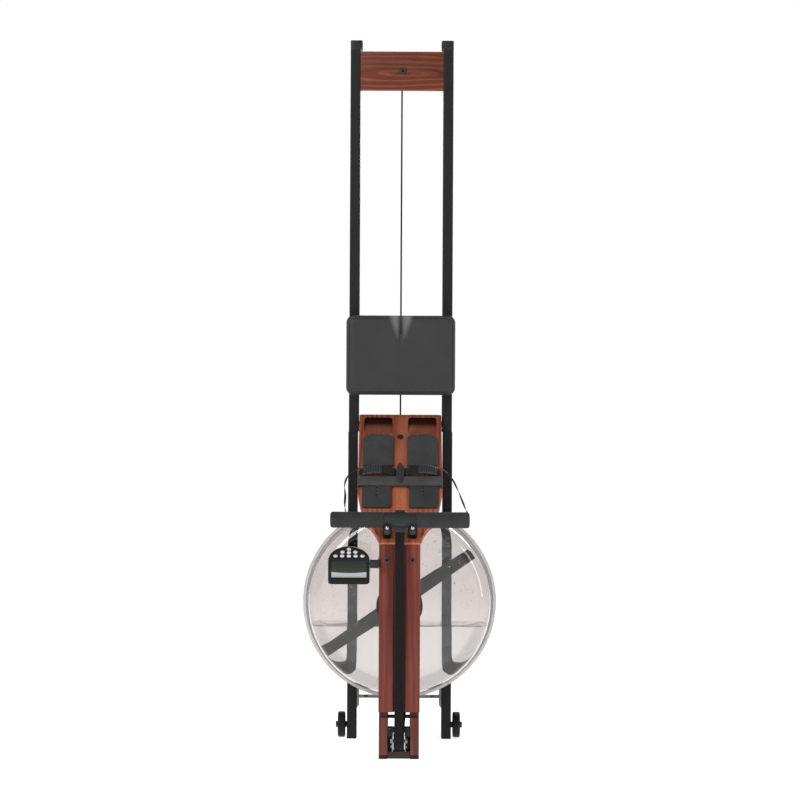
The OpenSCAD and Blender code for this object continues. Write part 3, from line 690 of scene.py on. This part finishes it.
def ribbon(name, path, widths, normals, thickness, look, width, edge=0.3 * MM, smooth=50):
    """A strap with rounded edges that follows path; widths and normals are unit vectors at each point."""
    half, t = width / 2, thickness / 2
    section = [(-half, -t + edge), (-half + edge, -t), (half - edge, -t), (half, -t + edge),
               (half, t - edge), (half - edge, t), (-half + edge, t), (-half, t - edge)]
    bm = bmesh.new()
    rings = []
    for place, side, normal in zip(path, widths, normals):
        rings.append([bm.verts.new(place + side * a + normal * b) for a, b in section])
    tube(bm, rings)
    return closed_piece(name, bm, look, smooth)


def smooth_path(points, per=8):
    """Catmull-Rom curve through the points."""
    points = [Vector(p) for p in points]
    padded = [points[0] * 2 - points[1]] + points + [points[-1] * 2 - points[-2]]
    out = []
    for a, b, c, d in zip(padded, padded[1:], padded[2:], padded[3:]):
        for i in range(per):
            t = i / per
            out.append(0.5 * (2 * b + (c - a) * t + (2 * a - 5 * b + 4 * c - d) * t * t
                              + (3 * b - a - 3 * c + d) * t * t * t))
    out.append(points[-1])
    return out


def tangents(path):
    last = len(path) - 1
    return [(path[min(i + 1, last)] - path[max(i - 1, 0)]).normalized() for i in range(last + 1)]


def on_board(x, down, over):
    """A place on the footboard, in millimetres across, down and over it."""
    k = math.sqrt(0.5)
    return Vector((x * MM, FACE - (down + over) * k * MM, HEEL_Z + (over - down) * k * MM))


BOARD_DOWN = Vector((0, -math.sqrt(0.5), -math.sqrt(0.5)))
BOARD_OUT = Vector((0, -math.sqrt(0.5), math.sqrt(0.5)))
ACROSS = Vector((1, 0, 0))


# ---------------------------------------------------------------- wooden parts
def make_wood():
    refined("rear_crossmember", "crossmember", 1.6 * MM)
    board = refined("footboard", "board", 2.2 * MM)
    # painted shade, with darker end grain, on the top walls of the heel openings
    repaint(board, "end_grain_and_painted_shade", lambda place, normal: normal.dot(BOARD_DOWN) > 0.6 and place.z > HEEL_Z - 0.022)
    heel = Vector((0, FACE, HEEL_Z))
    # the scoops' floors take the painted shade of wood_scoop
    repaint(board, "scoop", lambda place, normal: normal.dot(BOARD_OUT) > 0.6
            and (place - heel).dot(BOARD_OUT) < -0.6 * MM and HEEL_Z - 0.059 < place.z)
    refined("beam_deck", "deck", 1.8 * MM)
    refined("beam_cheeks", "cheek", 2.0 * MM)


# ---------------------------------------------------------------- tank and water
WALL = 4.0 * MM
SHOULDER_R = 40.0 * MM
SHOULDER_C = 228.0 * MM
FLANGE = 8.0 * MM
HUB_R = 0.0142                                    # hole for the shaft
FILLET_R = 0.2775                                 # where the wall's fillet meets the flange
RIM_R = 0.2708                                    # frosted from here outwards
RIM_RING = (0.2735, 0.2768)                       # painted dark ring on the frosted rim, in place of shading by refraction
CENTRE = (0.0, TANK_MID, TANK_Z)


def wall_line(inset, side):
    """Tank wall from the hub to the flange, as (radius, along Y); side is -1 for the front shell."""
    face = TANK_FRONT if side < 0 else TANK_BACK
    middle = face - side * SHOULDER_R
    turn = arc_points(SHOULDER_C, 0, SHOULDER_R - inset, 90, 0, 20)
    line = [(r, middle + side * a) for r, a in turn]
    flat = [(HUB_R + (SHOULDER_C - HUB_R) * i / 4, face - side * inset) for i in range(1, 4)]
    return [(HUB_R, face - side * inset)] + flat + line


def from_hub(place):
    """Distance from the tank's axis."""
    return math.hypot(place.x, place.z - TANK_Z)


def make_tank():
    """Two shells with a shoulder, a fillet and a flange, in clear plastic with a frosted rim."""
    for name, side in (("tank_front_shell", -1), ("tank_rear_shell", 1)):
        edge = TANK_MID + side * 1.0 * MM
        outer = wall_line(0.0, side)
        inner = wall_line(WALL, side)
        lip = TANK_MID + side * (FLANGE + 1.0 * MM)
        fillet = arc_points(FILLET_R, 4 * MM, 4 * MM, 180, 270, 8)
        round_edge = arc_points(TANK_R - 1.2 * MM, -1.2 * MM, 1.2 * MM, 90, 0, 4)
        rim = [(r, lip + side * along) for r, along in fillet + round_edge]
        rim += [(TANK_R, edge + side * 0.8 * MM), (TANK_R - 0.8 * MM, edge), (0.271, edge)]
        bm = bmesh.new()
        lathe(bm, outer + rim + inner[::-1], CENTRE, "Y", 384)
        bmesh.ops.recalc_face_normals(bm, faces=bm.faces)
        shell = new_piece(name + "_shape", mesh_from(bm, name), "tank", 60)
        repaint(shell, "rim", lambda place, normal: from_hub(place) > RIM_R)
        # painted shade: a dark ring across the rim and a dark outer edge, in place of shading by refraction
        repaint(shell, "rim_inside", lambda place, normal: RIM_RING[0] < from_hub(place) < RIM_RING[1])
        repaint(shell, "rim_edge", lambda place, normal: from_hub(place) > TANK_R - 0.9 * MM)
        stand_for(shell, name)


def make_water():
    """The tank's inside, turned round its axis and cut off level."""
    inset = WALL + 0.25 * MM
    front = wall_line(inset, -1)[1:]
    back = wall_line(inset, 1)[1:]
    profile = [(0.0, front[0][1])] + front + [(0.2695, TANK_MID)] + back[::-1] + [(0.0, back[0][1])]
    bm = bmesh.new()
    lathe(bm, profile, CENTRE, "Y", 192, closed=False)
    bmesh.ops.remove_doubles(bm, verts=bm.verts, dist=1e-6)
    cut = bmesh.ops.bisect_plane(bm, geom=bm.verts[:] + bm.edges[:] + bm.faces[:], plane_co=(0, 0, WATER_Z),
                                 plane_no=(0, 0, 1), clear_outer=True)
    rim = [e for e in cut["geom_cut"] if isinstance(e, bmesh.types.BMEdge)]
    bmesh.ops.holes_fill(bm, edges=rim, sides=0)
    bmesh.ops.recalc_face_normals(bm, faces=bm.faces)
    mesh = mesh_from(bm, "tank_water")
    water = new_piece("tank_water", mesh, "water", 40)
    stand_for(water, "water")


def make_droplets():
    """Splash drops that cling inside the tank above the water."""
    rng = random.Random(7)
    bm = bmesh.new()
    for _ in range(420):
        angle = rng.uniform(-0.15, math.pi + 0.15)
        radius = rng.choice((rng.uniform(0.12, 0.224), rng.uniform(0.19, 0.224)))
        if math.sin(angle) * radius + TANK_Z < WATER_Z + 0.006:
            continue
        size = rng.choice((0.5, 0.7, 0.9, 1.3, 1.9)) * MM
        place = Vector((radius * math.cos(angle), TANK_FRONT + WALL + size * 0.12,
                        TANK_Z + radius * math.sin(angle)))
        made = bmesh.ops.create_icosphere(bm, subdivisions=1, radius=size)
        bmesh.ops.scale(bm, verts=made["verts"], vec=(1, 0.5, rng.uniform(1.0, 1.35)))
        bmesh.ops.translate(bm, verts=made["verts"], vec=place)
    drops = new_piece("tank_droplets", mesh_from(bm, "droplets"), "water", 60)
    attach(drops, "frame")


# ---------------------------------------------------------------- seat
def make_seat():
    low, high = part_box("seat_pad")
    width, length = high.x - low.x, high.z - low.z
    middle = Vector(((low.x + high.x) / 2, 0, (low.z + high.z) / 2))
    front = low.y
    corner = 22 * MM
    steps = 12
    # rounded outline, walked round once, scaled inwards ring by ring
    outline = []
    for cx, cz, start in ((1, 1, 0), (-1, 1, 90), (-1, -1, 180), (1, -1, 270)):
        for i in range(steps + 1):
            a = math.radians(start + 90 * i / steps)
            outline.append(Vector((cx * (width / 2 - corner) + corner * math.cos(a), 0,
                                   cz * (length / 2 - corner) + corner * math.sin(a))))
    fine = []
    for a, b in zip(outline, outline[1:] + outline[:1]):
        gap = (b - a).length
        parts = max(1, round(gap / (5 * MM)))
        fine += [a.lerp(b, i / parts) for i in range(parts)]
    outline = fine

    def dent(x, z):
        """Coccyx groove with raised lips at the top middle, and shallow hollows for the thighs."""
        up = (z + length / 2) / length
        near = min(1.0, max(0.0, (up - 0.64) / 0.14))
        groove = math.exp(-(x / (5.0 * MM)) ** 2) * near
        spread = (9.0 + 10.0 * min(1.0, max(0.0, (up - 0.64) / 0.36))) * MM
        lips = sum(math.exp(-((x - s * spread) / (0.62 * spread)) ** 2) for s in (-1, 1))
        lips *= max(0.0, (up - 0.66) / 0.34)
        hollow = sum(math.exp(-(((x - s * 0.070) / 0.055) ** 2 + ((z + 0.012) / 0.066) ** 2))
                     for s in (-1, 1))
        return (9.0 * groove + 4.5 * min(1.0, lips) + 2.8 * hollow) * MM

    bm = bmesh.new()
    rings = []
    # millimetres: (inset from the outline, depth behind the front face)
    shell_rim = [(3.0, 31.5), (1.2, 31.0), (0.2, 29.5), (0.0, 27.0), (0.0, 17.5)]
    side_seam = [(0.5, 16.6), (1.3, 16.2), (0.6, 15.7), (0.0, 14.8)]
    shoulder = [(0.0, 11.0), (0.5, 7.6), (1.6, 4.9), (3.4, 3.0), (5.6, 2.0), (7.2, 1.9)]
    face_seam = [(8.1, 3.3), (8.7, 3.5), (9.6, 2.4)]
    crown = [(12.0, 1.3), (17.0, 0.7), (24.0, 0.35)]
    section = shell_rim + side_seam + shoulder + face_seam + crown
    for inset, depth in section:
        k = inset * MM
        ring = []
        for p in outline:
            sx = (width / 2 - k) / (width / 2)
            sz = (length / 2 - k) / (length / 2)
            x, z = p.x * sx, p.z * sz
            y = front + depth * MM
            if depth < 15:
                y += dent(x, z) * min(1.0, (15 - depth) / 13)
            ring.append(bm.verts.new((x, y, z)))
        rings.append(ring)
    for i in range(1, 22):
        t = 1 - i / 22
        ring = []
        for p in outline:
            sx = (width / 2 - 24 * MM) / (width / 2) * t
            sz = (length / 2 - 24 * MM) / (length / 2) * t
            x, z = p.x * sx, p.z * sz
            ring.append(bm.verts.new((x, front + 0.35 * MM * t + dent(x, z), z)))
        rings.append(ring)
    count = len(outline)
    join(bm, rings)
    hub = bm.verts.new((0, front + dent(0, 0), 0))
    for j in range(count):
        bm.faces.new((rings[-1][j], rings[-1][(j + 1) % count], hub))
    bm.faces.new(rings[0][::-1])
    bmesh.ops.recalc_face_normals(bm, faces=bm.faces)
    bmesh.ops.translate(bm, verts=bm.verts, vec=(middle.x, 0, middle.z))
    pad = new_piece("seat_cushion", mesh_from(bm, "seat_cushion"), "seat", 60)
    stand_for(pad, "seat_pad")


# ---------------------------------------------------------------- handle and belt
def make_handle():
    """Foam sleeves with a slight waist on a bar."""
    low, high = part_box("handle_grips")
    y, z = (low.y + high.y) / 2, (low.z + high.z) / 2
    radius = (high.z - low.z) / 2
    end = high.x
    bm = bmesh.new()
    for side in (-1, 1):
        cuff = [(0.0141, 45 * MM), (radius - 2.2 * MM, 45 * MM), (radius - 0.7 * MM, 45.7 * MM),
                (radius, 47.4 * MM)]
        length = end - 8 * MM - 0.050
        waist = [(radius - 0.25 * MM * math.sin(math.pi * i / 18), 0.050 + length * i / 18)
                 for i in range(19)]
        dome = arc_points(radius - 8 * MM, end - 8 * MM, 8 * MM, 10, 90, 8)
        cap = [(9 * MM, end), (6 * MM, end - 0.6 * MM), (0.5 * MM, end - 0.6 * MM),
               (0.5 * MM, end - 2.8 * MM), (0.0141, end - 2.8 * MM)]
        profile = cuff + waist + dome + cap
        lathe(bm, [(r, side * a) for r, a in profile], (0, y, z), "X", 72)
    grips = closed_piece("grip_sleeves", bm, "foam", 50)
    stand_for(grips, "handle_grips")
    refined("handle_bar", "core", 1.2 * MM)


def make_belt():
    """Webbing from the handle, round the nose pulley and with a quarter twist up to the drum."""
    pulley_lo, pulley_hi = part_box("front_pulley")
    centre = Vector((0, (pulley_lo.y + pulley_hi.y) / 2, (pulley_lo.z + pulley_hi.z) / 2))
    radius = 22.7 * MM
    top = Vector((0, FACE - 0.388, 0.646))
    start = centre + Vector((0, -radius, 0))
    path, sides, normals = [], [], []

    def add(place, side, normal):
        path.append(place)
        sides.append(side.normalized())
        normals.append(normal.normalized())
    for i in range(40):
        add(top.lerp(start, i / 40), ACROSS, Vector((0, 1, 0)))
    for i in range(25):
        a = math.pi + math.pi * i / 24
        add(centre + Vector((0, radius * math.cos(a), radius * math.sin(a))), ACROSS,
            Vector((0, -math.cos(a), -math.sin(a))))
    finish = Vector((0.0392, FACE - 0.23875, TANK_Z))
    begin = centre + Vector((0, radius, 0))
    for i in range(1, 41):
        t = i / 40
        s = min(1.0, t / 0.76)
        turn = math.radians(90) * s
        place = Vector((finish.x * t, begin.y + (finish.y - begin.y) * s,
                        begin.z + (finish.z - begin.z) * t))
        add(place, Vector((math.cos(turn), math.sin(turn), 0)),
            Vector((math.sin(turn), -math.cos(turn), 0)))
    belt = ribbon("pull_belt", path, sides, normals, 1.6 * MM, "belt", 26 * MM)
    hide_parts("drive_belt")
    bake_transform(belt)

    bm = bmesh.new()
    turns = [(0.0382, -0.2525), (0.0398, -0.2520), (0.0402, -0.2505), (0.0402, -0.2272),
             (0.0398, -0.2255), (0.0382, -0.2250)]
    lathe(bm, [(r, FACE + along) for r, along in turns], (0, 0, TANK_Z), "Y", 96)
    wound = closed_piece("wound_belt", bm, "belt", 40)
    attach(wound, "drum")


def make_cord():
    """Bungee cord from the crossmember, behind the seat and the footboard, to the drum."""
    route = [(0, 31, 1986), (0, 28, 1950), (0, 28, 1700), (0, 28, 1300), (0, 28, 1000),
             (0, 28, 915), (0, 27.5, 910), (0, 25.5, 905.5), (0, 21, 901), (0, -20, 870),
             (0, -94, 814), (0, -168, 758), (0, -209.5, 727),
             (0, -214, 722), (0, -216, 717.5), (0.2, -216.5, 712), (4, -216.5, 680), (14, -216.5, 600),
             (23.5, -216.5, 520), (33.5, -216.5, 440), (35.5, -216.5, 424)]
    path = [Vector((x * MM, FACE + y * MM, z * MM)) for x, y, z in route]
    sides = 14
    bm = bmesh.new()
    rings = []
    for place, way in zip(path, tangents(path)):
        across = way.cross(Vector((0, way.z, -way.y))).normalized()
        other = across.cross(way)
        ring = []
        for j in range(sides):
            a = 2 * math.pi * j / sides
            ring.append(bm.verts.new(place + 2.5 * MM * (math.cos(a) * across + math.sin(a) * other)))
        rings.append(ring)
    tube(bm, rings)
    cord = closed_piece("bungee_sleeve", bm, "cord", 60)
    stand_for(cord, "bungee_cord")


# ---------------------------------------------------------------- foot supports
STRAP_U = 244.0                                   # foot straps, down the board
BAND_U = 281.0                                    # toe band, down the board


def make_straps():
    """Webbing over each foot, and the loose tails over the rails."""
    arch = [(13, 1.5), (14.5, 6), (18, 9.6), (30, 14.4), (46, 18.4), (64, 20), (82, 18.4),
            (98, 14.4), (110, 9.6), (114.5, 6), (118, 1.5)]
    for side in (-1, 1):
        points = smooth_path([on_board(side * x, STRAP_U, n) for x, n in arch], 6)
        ways = tangents(points)
        normals = [BOARD_DOWN.cross(w) * side * -1 for w in ways]
        name = "left" if side < 0 else "right"
        strap = ribbon(f"foot_strap_{name}", points, [BOARD_DOWN] * len(points), normals,
                       2.2 * MM, "strap", 30 * MM)
        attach(strap, "frame")
    tails = {
        "left": [(-118, -178, 820), (-127, -178, 816), (-145, -178, 805), (-157, -178, 788),
                 (-162, -178, 768), (-160, -178, 740), (-161, -178, 714), (-159, -178, 693)],
        "right": [(118, -178, 820), (127, -178, 815), (143, -178, 800), (155, -178, 784), (167, -178, 760),
                  (179, -178, 732), (190, -178, 705), (197, -178, 691)],
    }
    for name, places in tails.items():
        points = smooth_path([(x * MM, FACE + y * MM, z * MM) for x, y, z in places], 7)
        ways = tangents(points)
        sides = []
        for i, w in enumerate(ways):
            turn = math.radians(14 * math.sin(i * 0.21))
            flat = Vector((math.sin(turn), math.cos(turn), 0))
            sides.append((flat - w * w.dot(flat)).normalized())
        tail = ribbon(f"strap_tail_{name}", points, sides, [w.cross(s) for w, s in zip(ways, sides)],
                      1.5 * MM, "strap", 21 * MM)
        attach(tail, "frame")
    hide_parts("foot_straps")


def make_band():
    """Wide band over the toes, hooked round the board's edges."""
    half = [(123.6, -7.5), (123.6, 1), (122.4, 6.5), (118, 10.5), (108, 11.2), (60, 11.0), (22, 10.6)]
    path = [(-x, n) for x, n in half] + [(0, 10.4)] + half[::-1]
    points = smooth_path([on_board(x, BAND_U, n) for x, n in path], 5)
    ways = tangents(points)
    normals = [BOARD_DOWN.cross(w) * -1 for w in ways]
    band = ribbon("toe_strap", points, [BOARD_DOWN] * len(points), normals, 2.0 * MM, "band",
                  37 * MM, 0.5 * MM)
    stand_for(band, "toe_band")


def make_clip():
    """Pointed centre clip with a raised spine, its block, and a ridged buckle on each strap."""
    clip = refined("strap_clip", "clip", 1.2 * MM)
    drop_parts(clip, lambda place: abs(place.x) > 0.03 or over_board(place) > 12.3 * MM)
    bm = bmesh.new()
    u0 = STRAP_U + 8
    # (down the board, half width), and (share of the half width, height) across it
    rows = [(-42, 0.6), (-38, 3.2), (-30, 6.8), (-16, 10.4), (-4, 11.6), (8, 11.8), (20, 9.8),
            (30, 7.2), (36, 5.4), (38, 4.6)]
    rising = [(-1.0, 0.0), (-1.0, 1.6), (-0.86, 3.0), (-0.55, 3.8), (-0.30, 4.2), (-0.12, 5.6)]
    section = rising + [(-a, n) for a, n in rising[::-1]]
    rings = []
    for u, half in smooth_rows(rows, 4):
        swell = min(1.0, 0.25 + half / 8.0)
        rings.append([bm.verts.new(on_board(a * half, u0 + u, 12.3 + n * swell)) for a, n in section])
    tube(bm, rings)
    point = closed_piece("clip_point", bm, "clip", 32)
    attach(point, "frame")

    bm = bmesh.new()
    for side in (-1, 1):
        strips = []
        for i in range(57):
            x = 53.0 + i
            crest = 0.5 + 0.5 * math.cos(2 * math.pi * (x - 53.0) / 7.0)
            base = -86 + math.sqrt((106 + 1.5) ** 2 - (x - 64) ** 2)
            lift = 2.2 + 2.4 * crest ** 0.7 * min(1.0, (x - 52.5) / 4, (109.5 - x) / 4)
            width = 16.2 - 2.2 * max(0.0, (x - 100) / 10) ** 2 - 1.2 * max(0.0, (58 - x) / 5) ** 2
            ring = [(-width, 0.0), (-width, lift * 0.55), (-width + 1.4, lift * 0.9), (-width + 3.2, lift),
                    (width - 3.2, lift), (width - 1.4, lift * 0.9), (width, lift * 0.55), (width, 0.0)]
            strips.append([bm.verts.new(on_board(side * x, STRAP_U + u, base + n)) for u, n in ring])
        tube(bm, strips)
    buckles = closed_piece("strap_buckles", bm, "clip", 40)
    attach(buckles, "frame")


def over_board(place):
    """Height of a place over the footboard's face, in metres."""
    return ((place.z - HEEL_Z) - (place.y - FACE)) * math.sqrt(0.5)


def drop_parts(obj, test):
    """Removes the faces whose centres pass the test."""
    bm = bmesh.new()
    bm.from_mesh(obj.data)
    bmesh.ops.delete(bm, geom=[f for f in bm.faces if test(f.calc_center_median())], context="FACES")
    bm.to_mesh(obj.data)
    bm.free()


def smooth_rows(rows, per):
    """Catmull-Rom refinement of (position, half width) rows."""
    points = smooth_path([(a, b, 0) for a, b in rows], per)
    return [(p.x, p.y) for p in points]


def socket_head(bm, place, axis, radius, height, depth):
    """A cap screw's head with a hexagon socket; axis points out of the wood."""
    side = Vector((1, 0, 0)) if abs(axis.x) < 0.9 else Vector((0, 1, 0))
    side = (side - axis * side.dot(axis)).normalized()
    other = axis.cross(side)
    steps = 48
    # (radius, height, 1 where the ring is a hexagon)
    rows = [(radius, 0.0, 0), (radius, height * 0.72, 0), (radius * 0.96, height * 0.9, 0),
            (radius * 0.87, height, 0), (radius * 0.58, height, 0), (radius * 0.52, height, 1),
            (radius * 0.50, height - depth, 1)]
    rings = []
    for r, h, hexagon in rows:
        ring = []
        for i in range(steps):
            a = 2 * math.pi * i / steps
            far = r
            if hexagon:
                far = r * math.cos(math.pi / 6) / math.cos((a % (math.pi / 3)) - math.pi / 6)
            out = side * (far * math.cos(a)) + other * (far * math.sin(a))
            ring.append(bm.verts.new(place + out + axis * h))
        rings.append(ring)
    tube(bm, rings)


def make_bolts():
    """Screw heads with sockets, bright domes on the hooks, and the nose bracket's two finishes."""
    bolts = refined("fasteners", "bolt", 0.7 * MM)
    deck_screw = (0.036, FACE - 0.360, 0.565)
    drop_parts(bolts, lambda place: abs(abs(place.x) - deck_screw[0]) < 9 * MM
               and abs(place.z - deck_screw[2]) < 9 * MM and place.y < deck_screw[1] + 1 * MM)
    bm = bmesh.new()
    anchor = (0.003, FACE + 2 * MM, 2.008)
    drop_parts(bolts, lambda place: abs(place.z - anchor[2]) < 10 * MM and place.y < anchor[1] - 0.2 * MM)
    for side in (-1, 1):
        spot = Vector((side * deck_screw[0], deck_screw[1] - 0.1 * MM, deck_screw[2]))
        socket_head(bm, spot, Vector((0, -1, 0)), 8 * MM, 2.9 * MM, 2.4 * MM)
    socket_head(bm, Vector(anchor), Vector((0, -1, 0)), 9 * MM, 5 * MM, 3.6 * MM)
    heads = closed_piece("deck_screws", bm, "bolt", 30)
    # painted shade: the sockets' recesses are darker than the heads
    repaint(heads, "socket", lambda place, normal: 4.6 * MM > min(
        math.hypot(abs(place.x) - deck_screw[0], place.z - deck_screw[2]),
        math.hypot(place.x - anchor[0], place.z - anchor[2])))
    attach(heads, "frame")

    hook_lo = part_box("handle_hooks")[0]
    bm = bmesh.new()
    for side in (-1, 1):
        dome = [(0.0001, -1.2), (2.6 * MM, -0.9), (4.4 * MM, -0.2), (5.0 * MM, 0.8), (5.0 * MM, 3.0)]
        lathe(bm, [(r, hook_lo.y + along * MM) for r, along in dome], (side * 0.036, 0, 0.6600),
              "Y", 32, closed=False)
    domes = closed_piece("hook_domes", bm, "chrome", 60)
    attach(domes, "frame")

    bracket = refined("pulley_bracket", "zinc", 0.6 * MM)
    repaint(bracket, "socket", lambda place, normal: place.z > 0.0665
            or (abs(place.x) > 0.0198 and place.y > FACE - 0.3345))


make_tank()
make_water()
make_droplets()
make_wood()
make_seat()
make_handle()
make_belt()
make_cord()
make_straps()
make_band()
for plain, look, edge in (
        ("heel_pads", "pad", 1.8), ("toe_plate_left", "toe", 1.4), ("toe_plate_right", "toe", 1.4),
        ("paddle", "paddle", 1.6), ("rail_end_caps", "cap", 1.0),
        ("handle_hooks", "glossy", 0.8), ("monitor_case", "monitor", 1.6), ("monitor_arm", "black", 1.4),
        ("wheel_left", "wheel", 0.8), ("wheel_right", "wheel", 0.8), ("rubber_feet", "rubber", 1.2),
        ("legs", "rail", 1.5), ("belt_drum", "grey", 0.6), ("front_pulley", "grey", 0.6),
        ("seat_carriage", "steel", 0.8), ("nose_crossbar", "nose", 1.2),
        ("front_tie_plate", "tie", 0.8), ("guide_brackets", "steel", 0.5),
        ("seat_rollers_upper", "glossy", 0.6), ("seat_rollers_lower", "glossy", 0.6),
        ("wheel_axles", "bolt", 0.8), ("bearing_housings", "black", 0.6)):
    refined(plain, look, edge * MM)

make_clip()
make_bolts()

for index in range(1, 10):
    refined(f"key_{index}", "key", 1.1 * MM, 4)
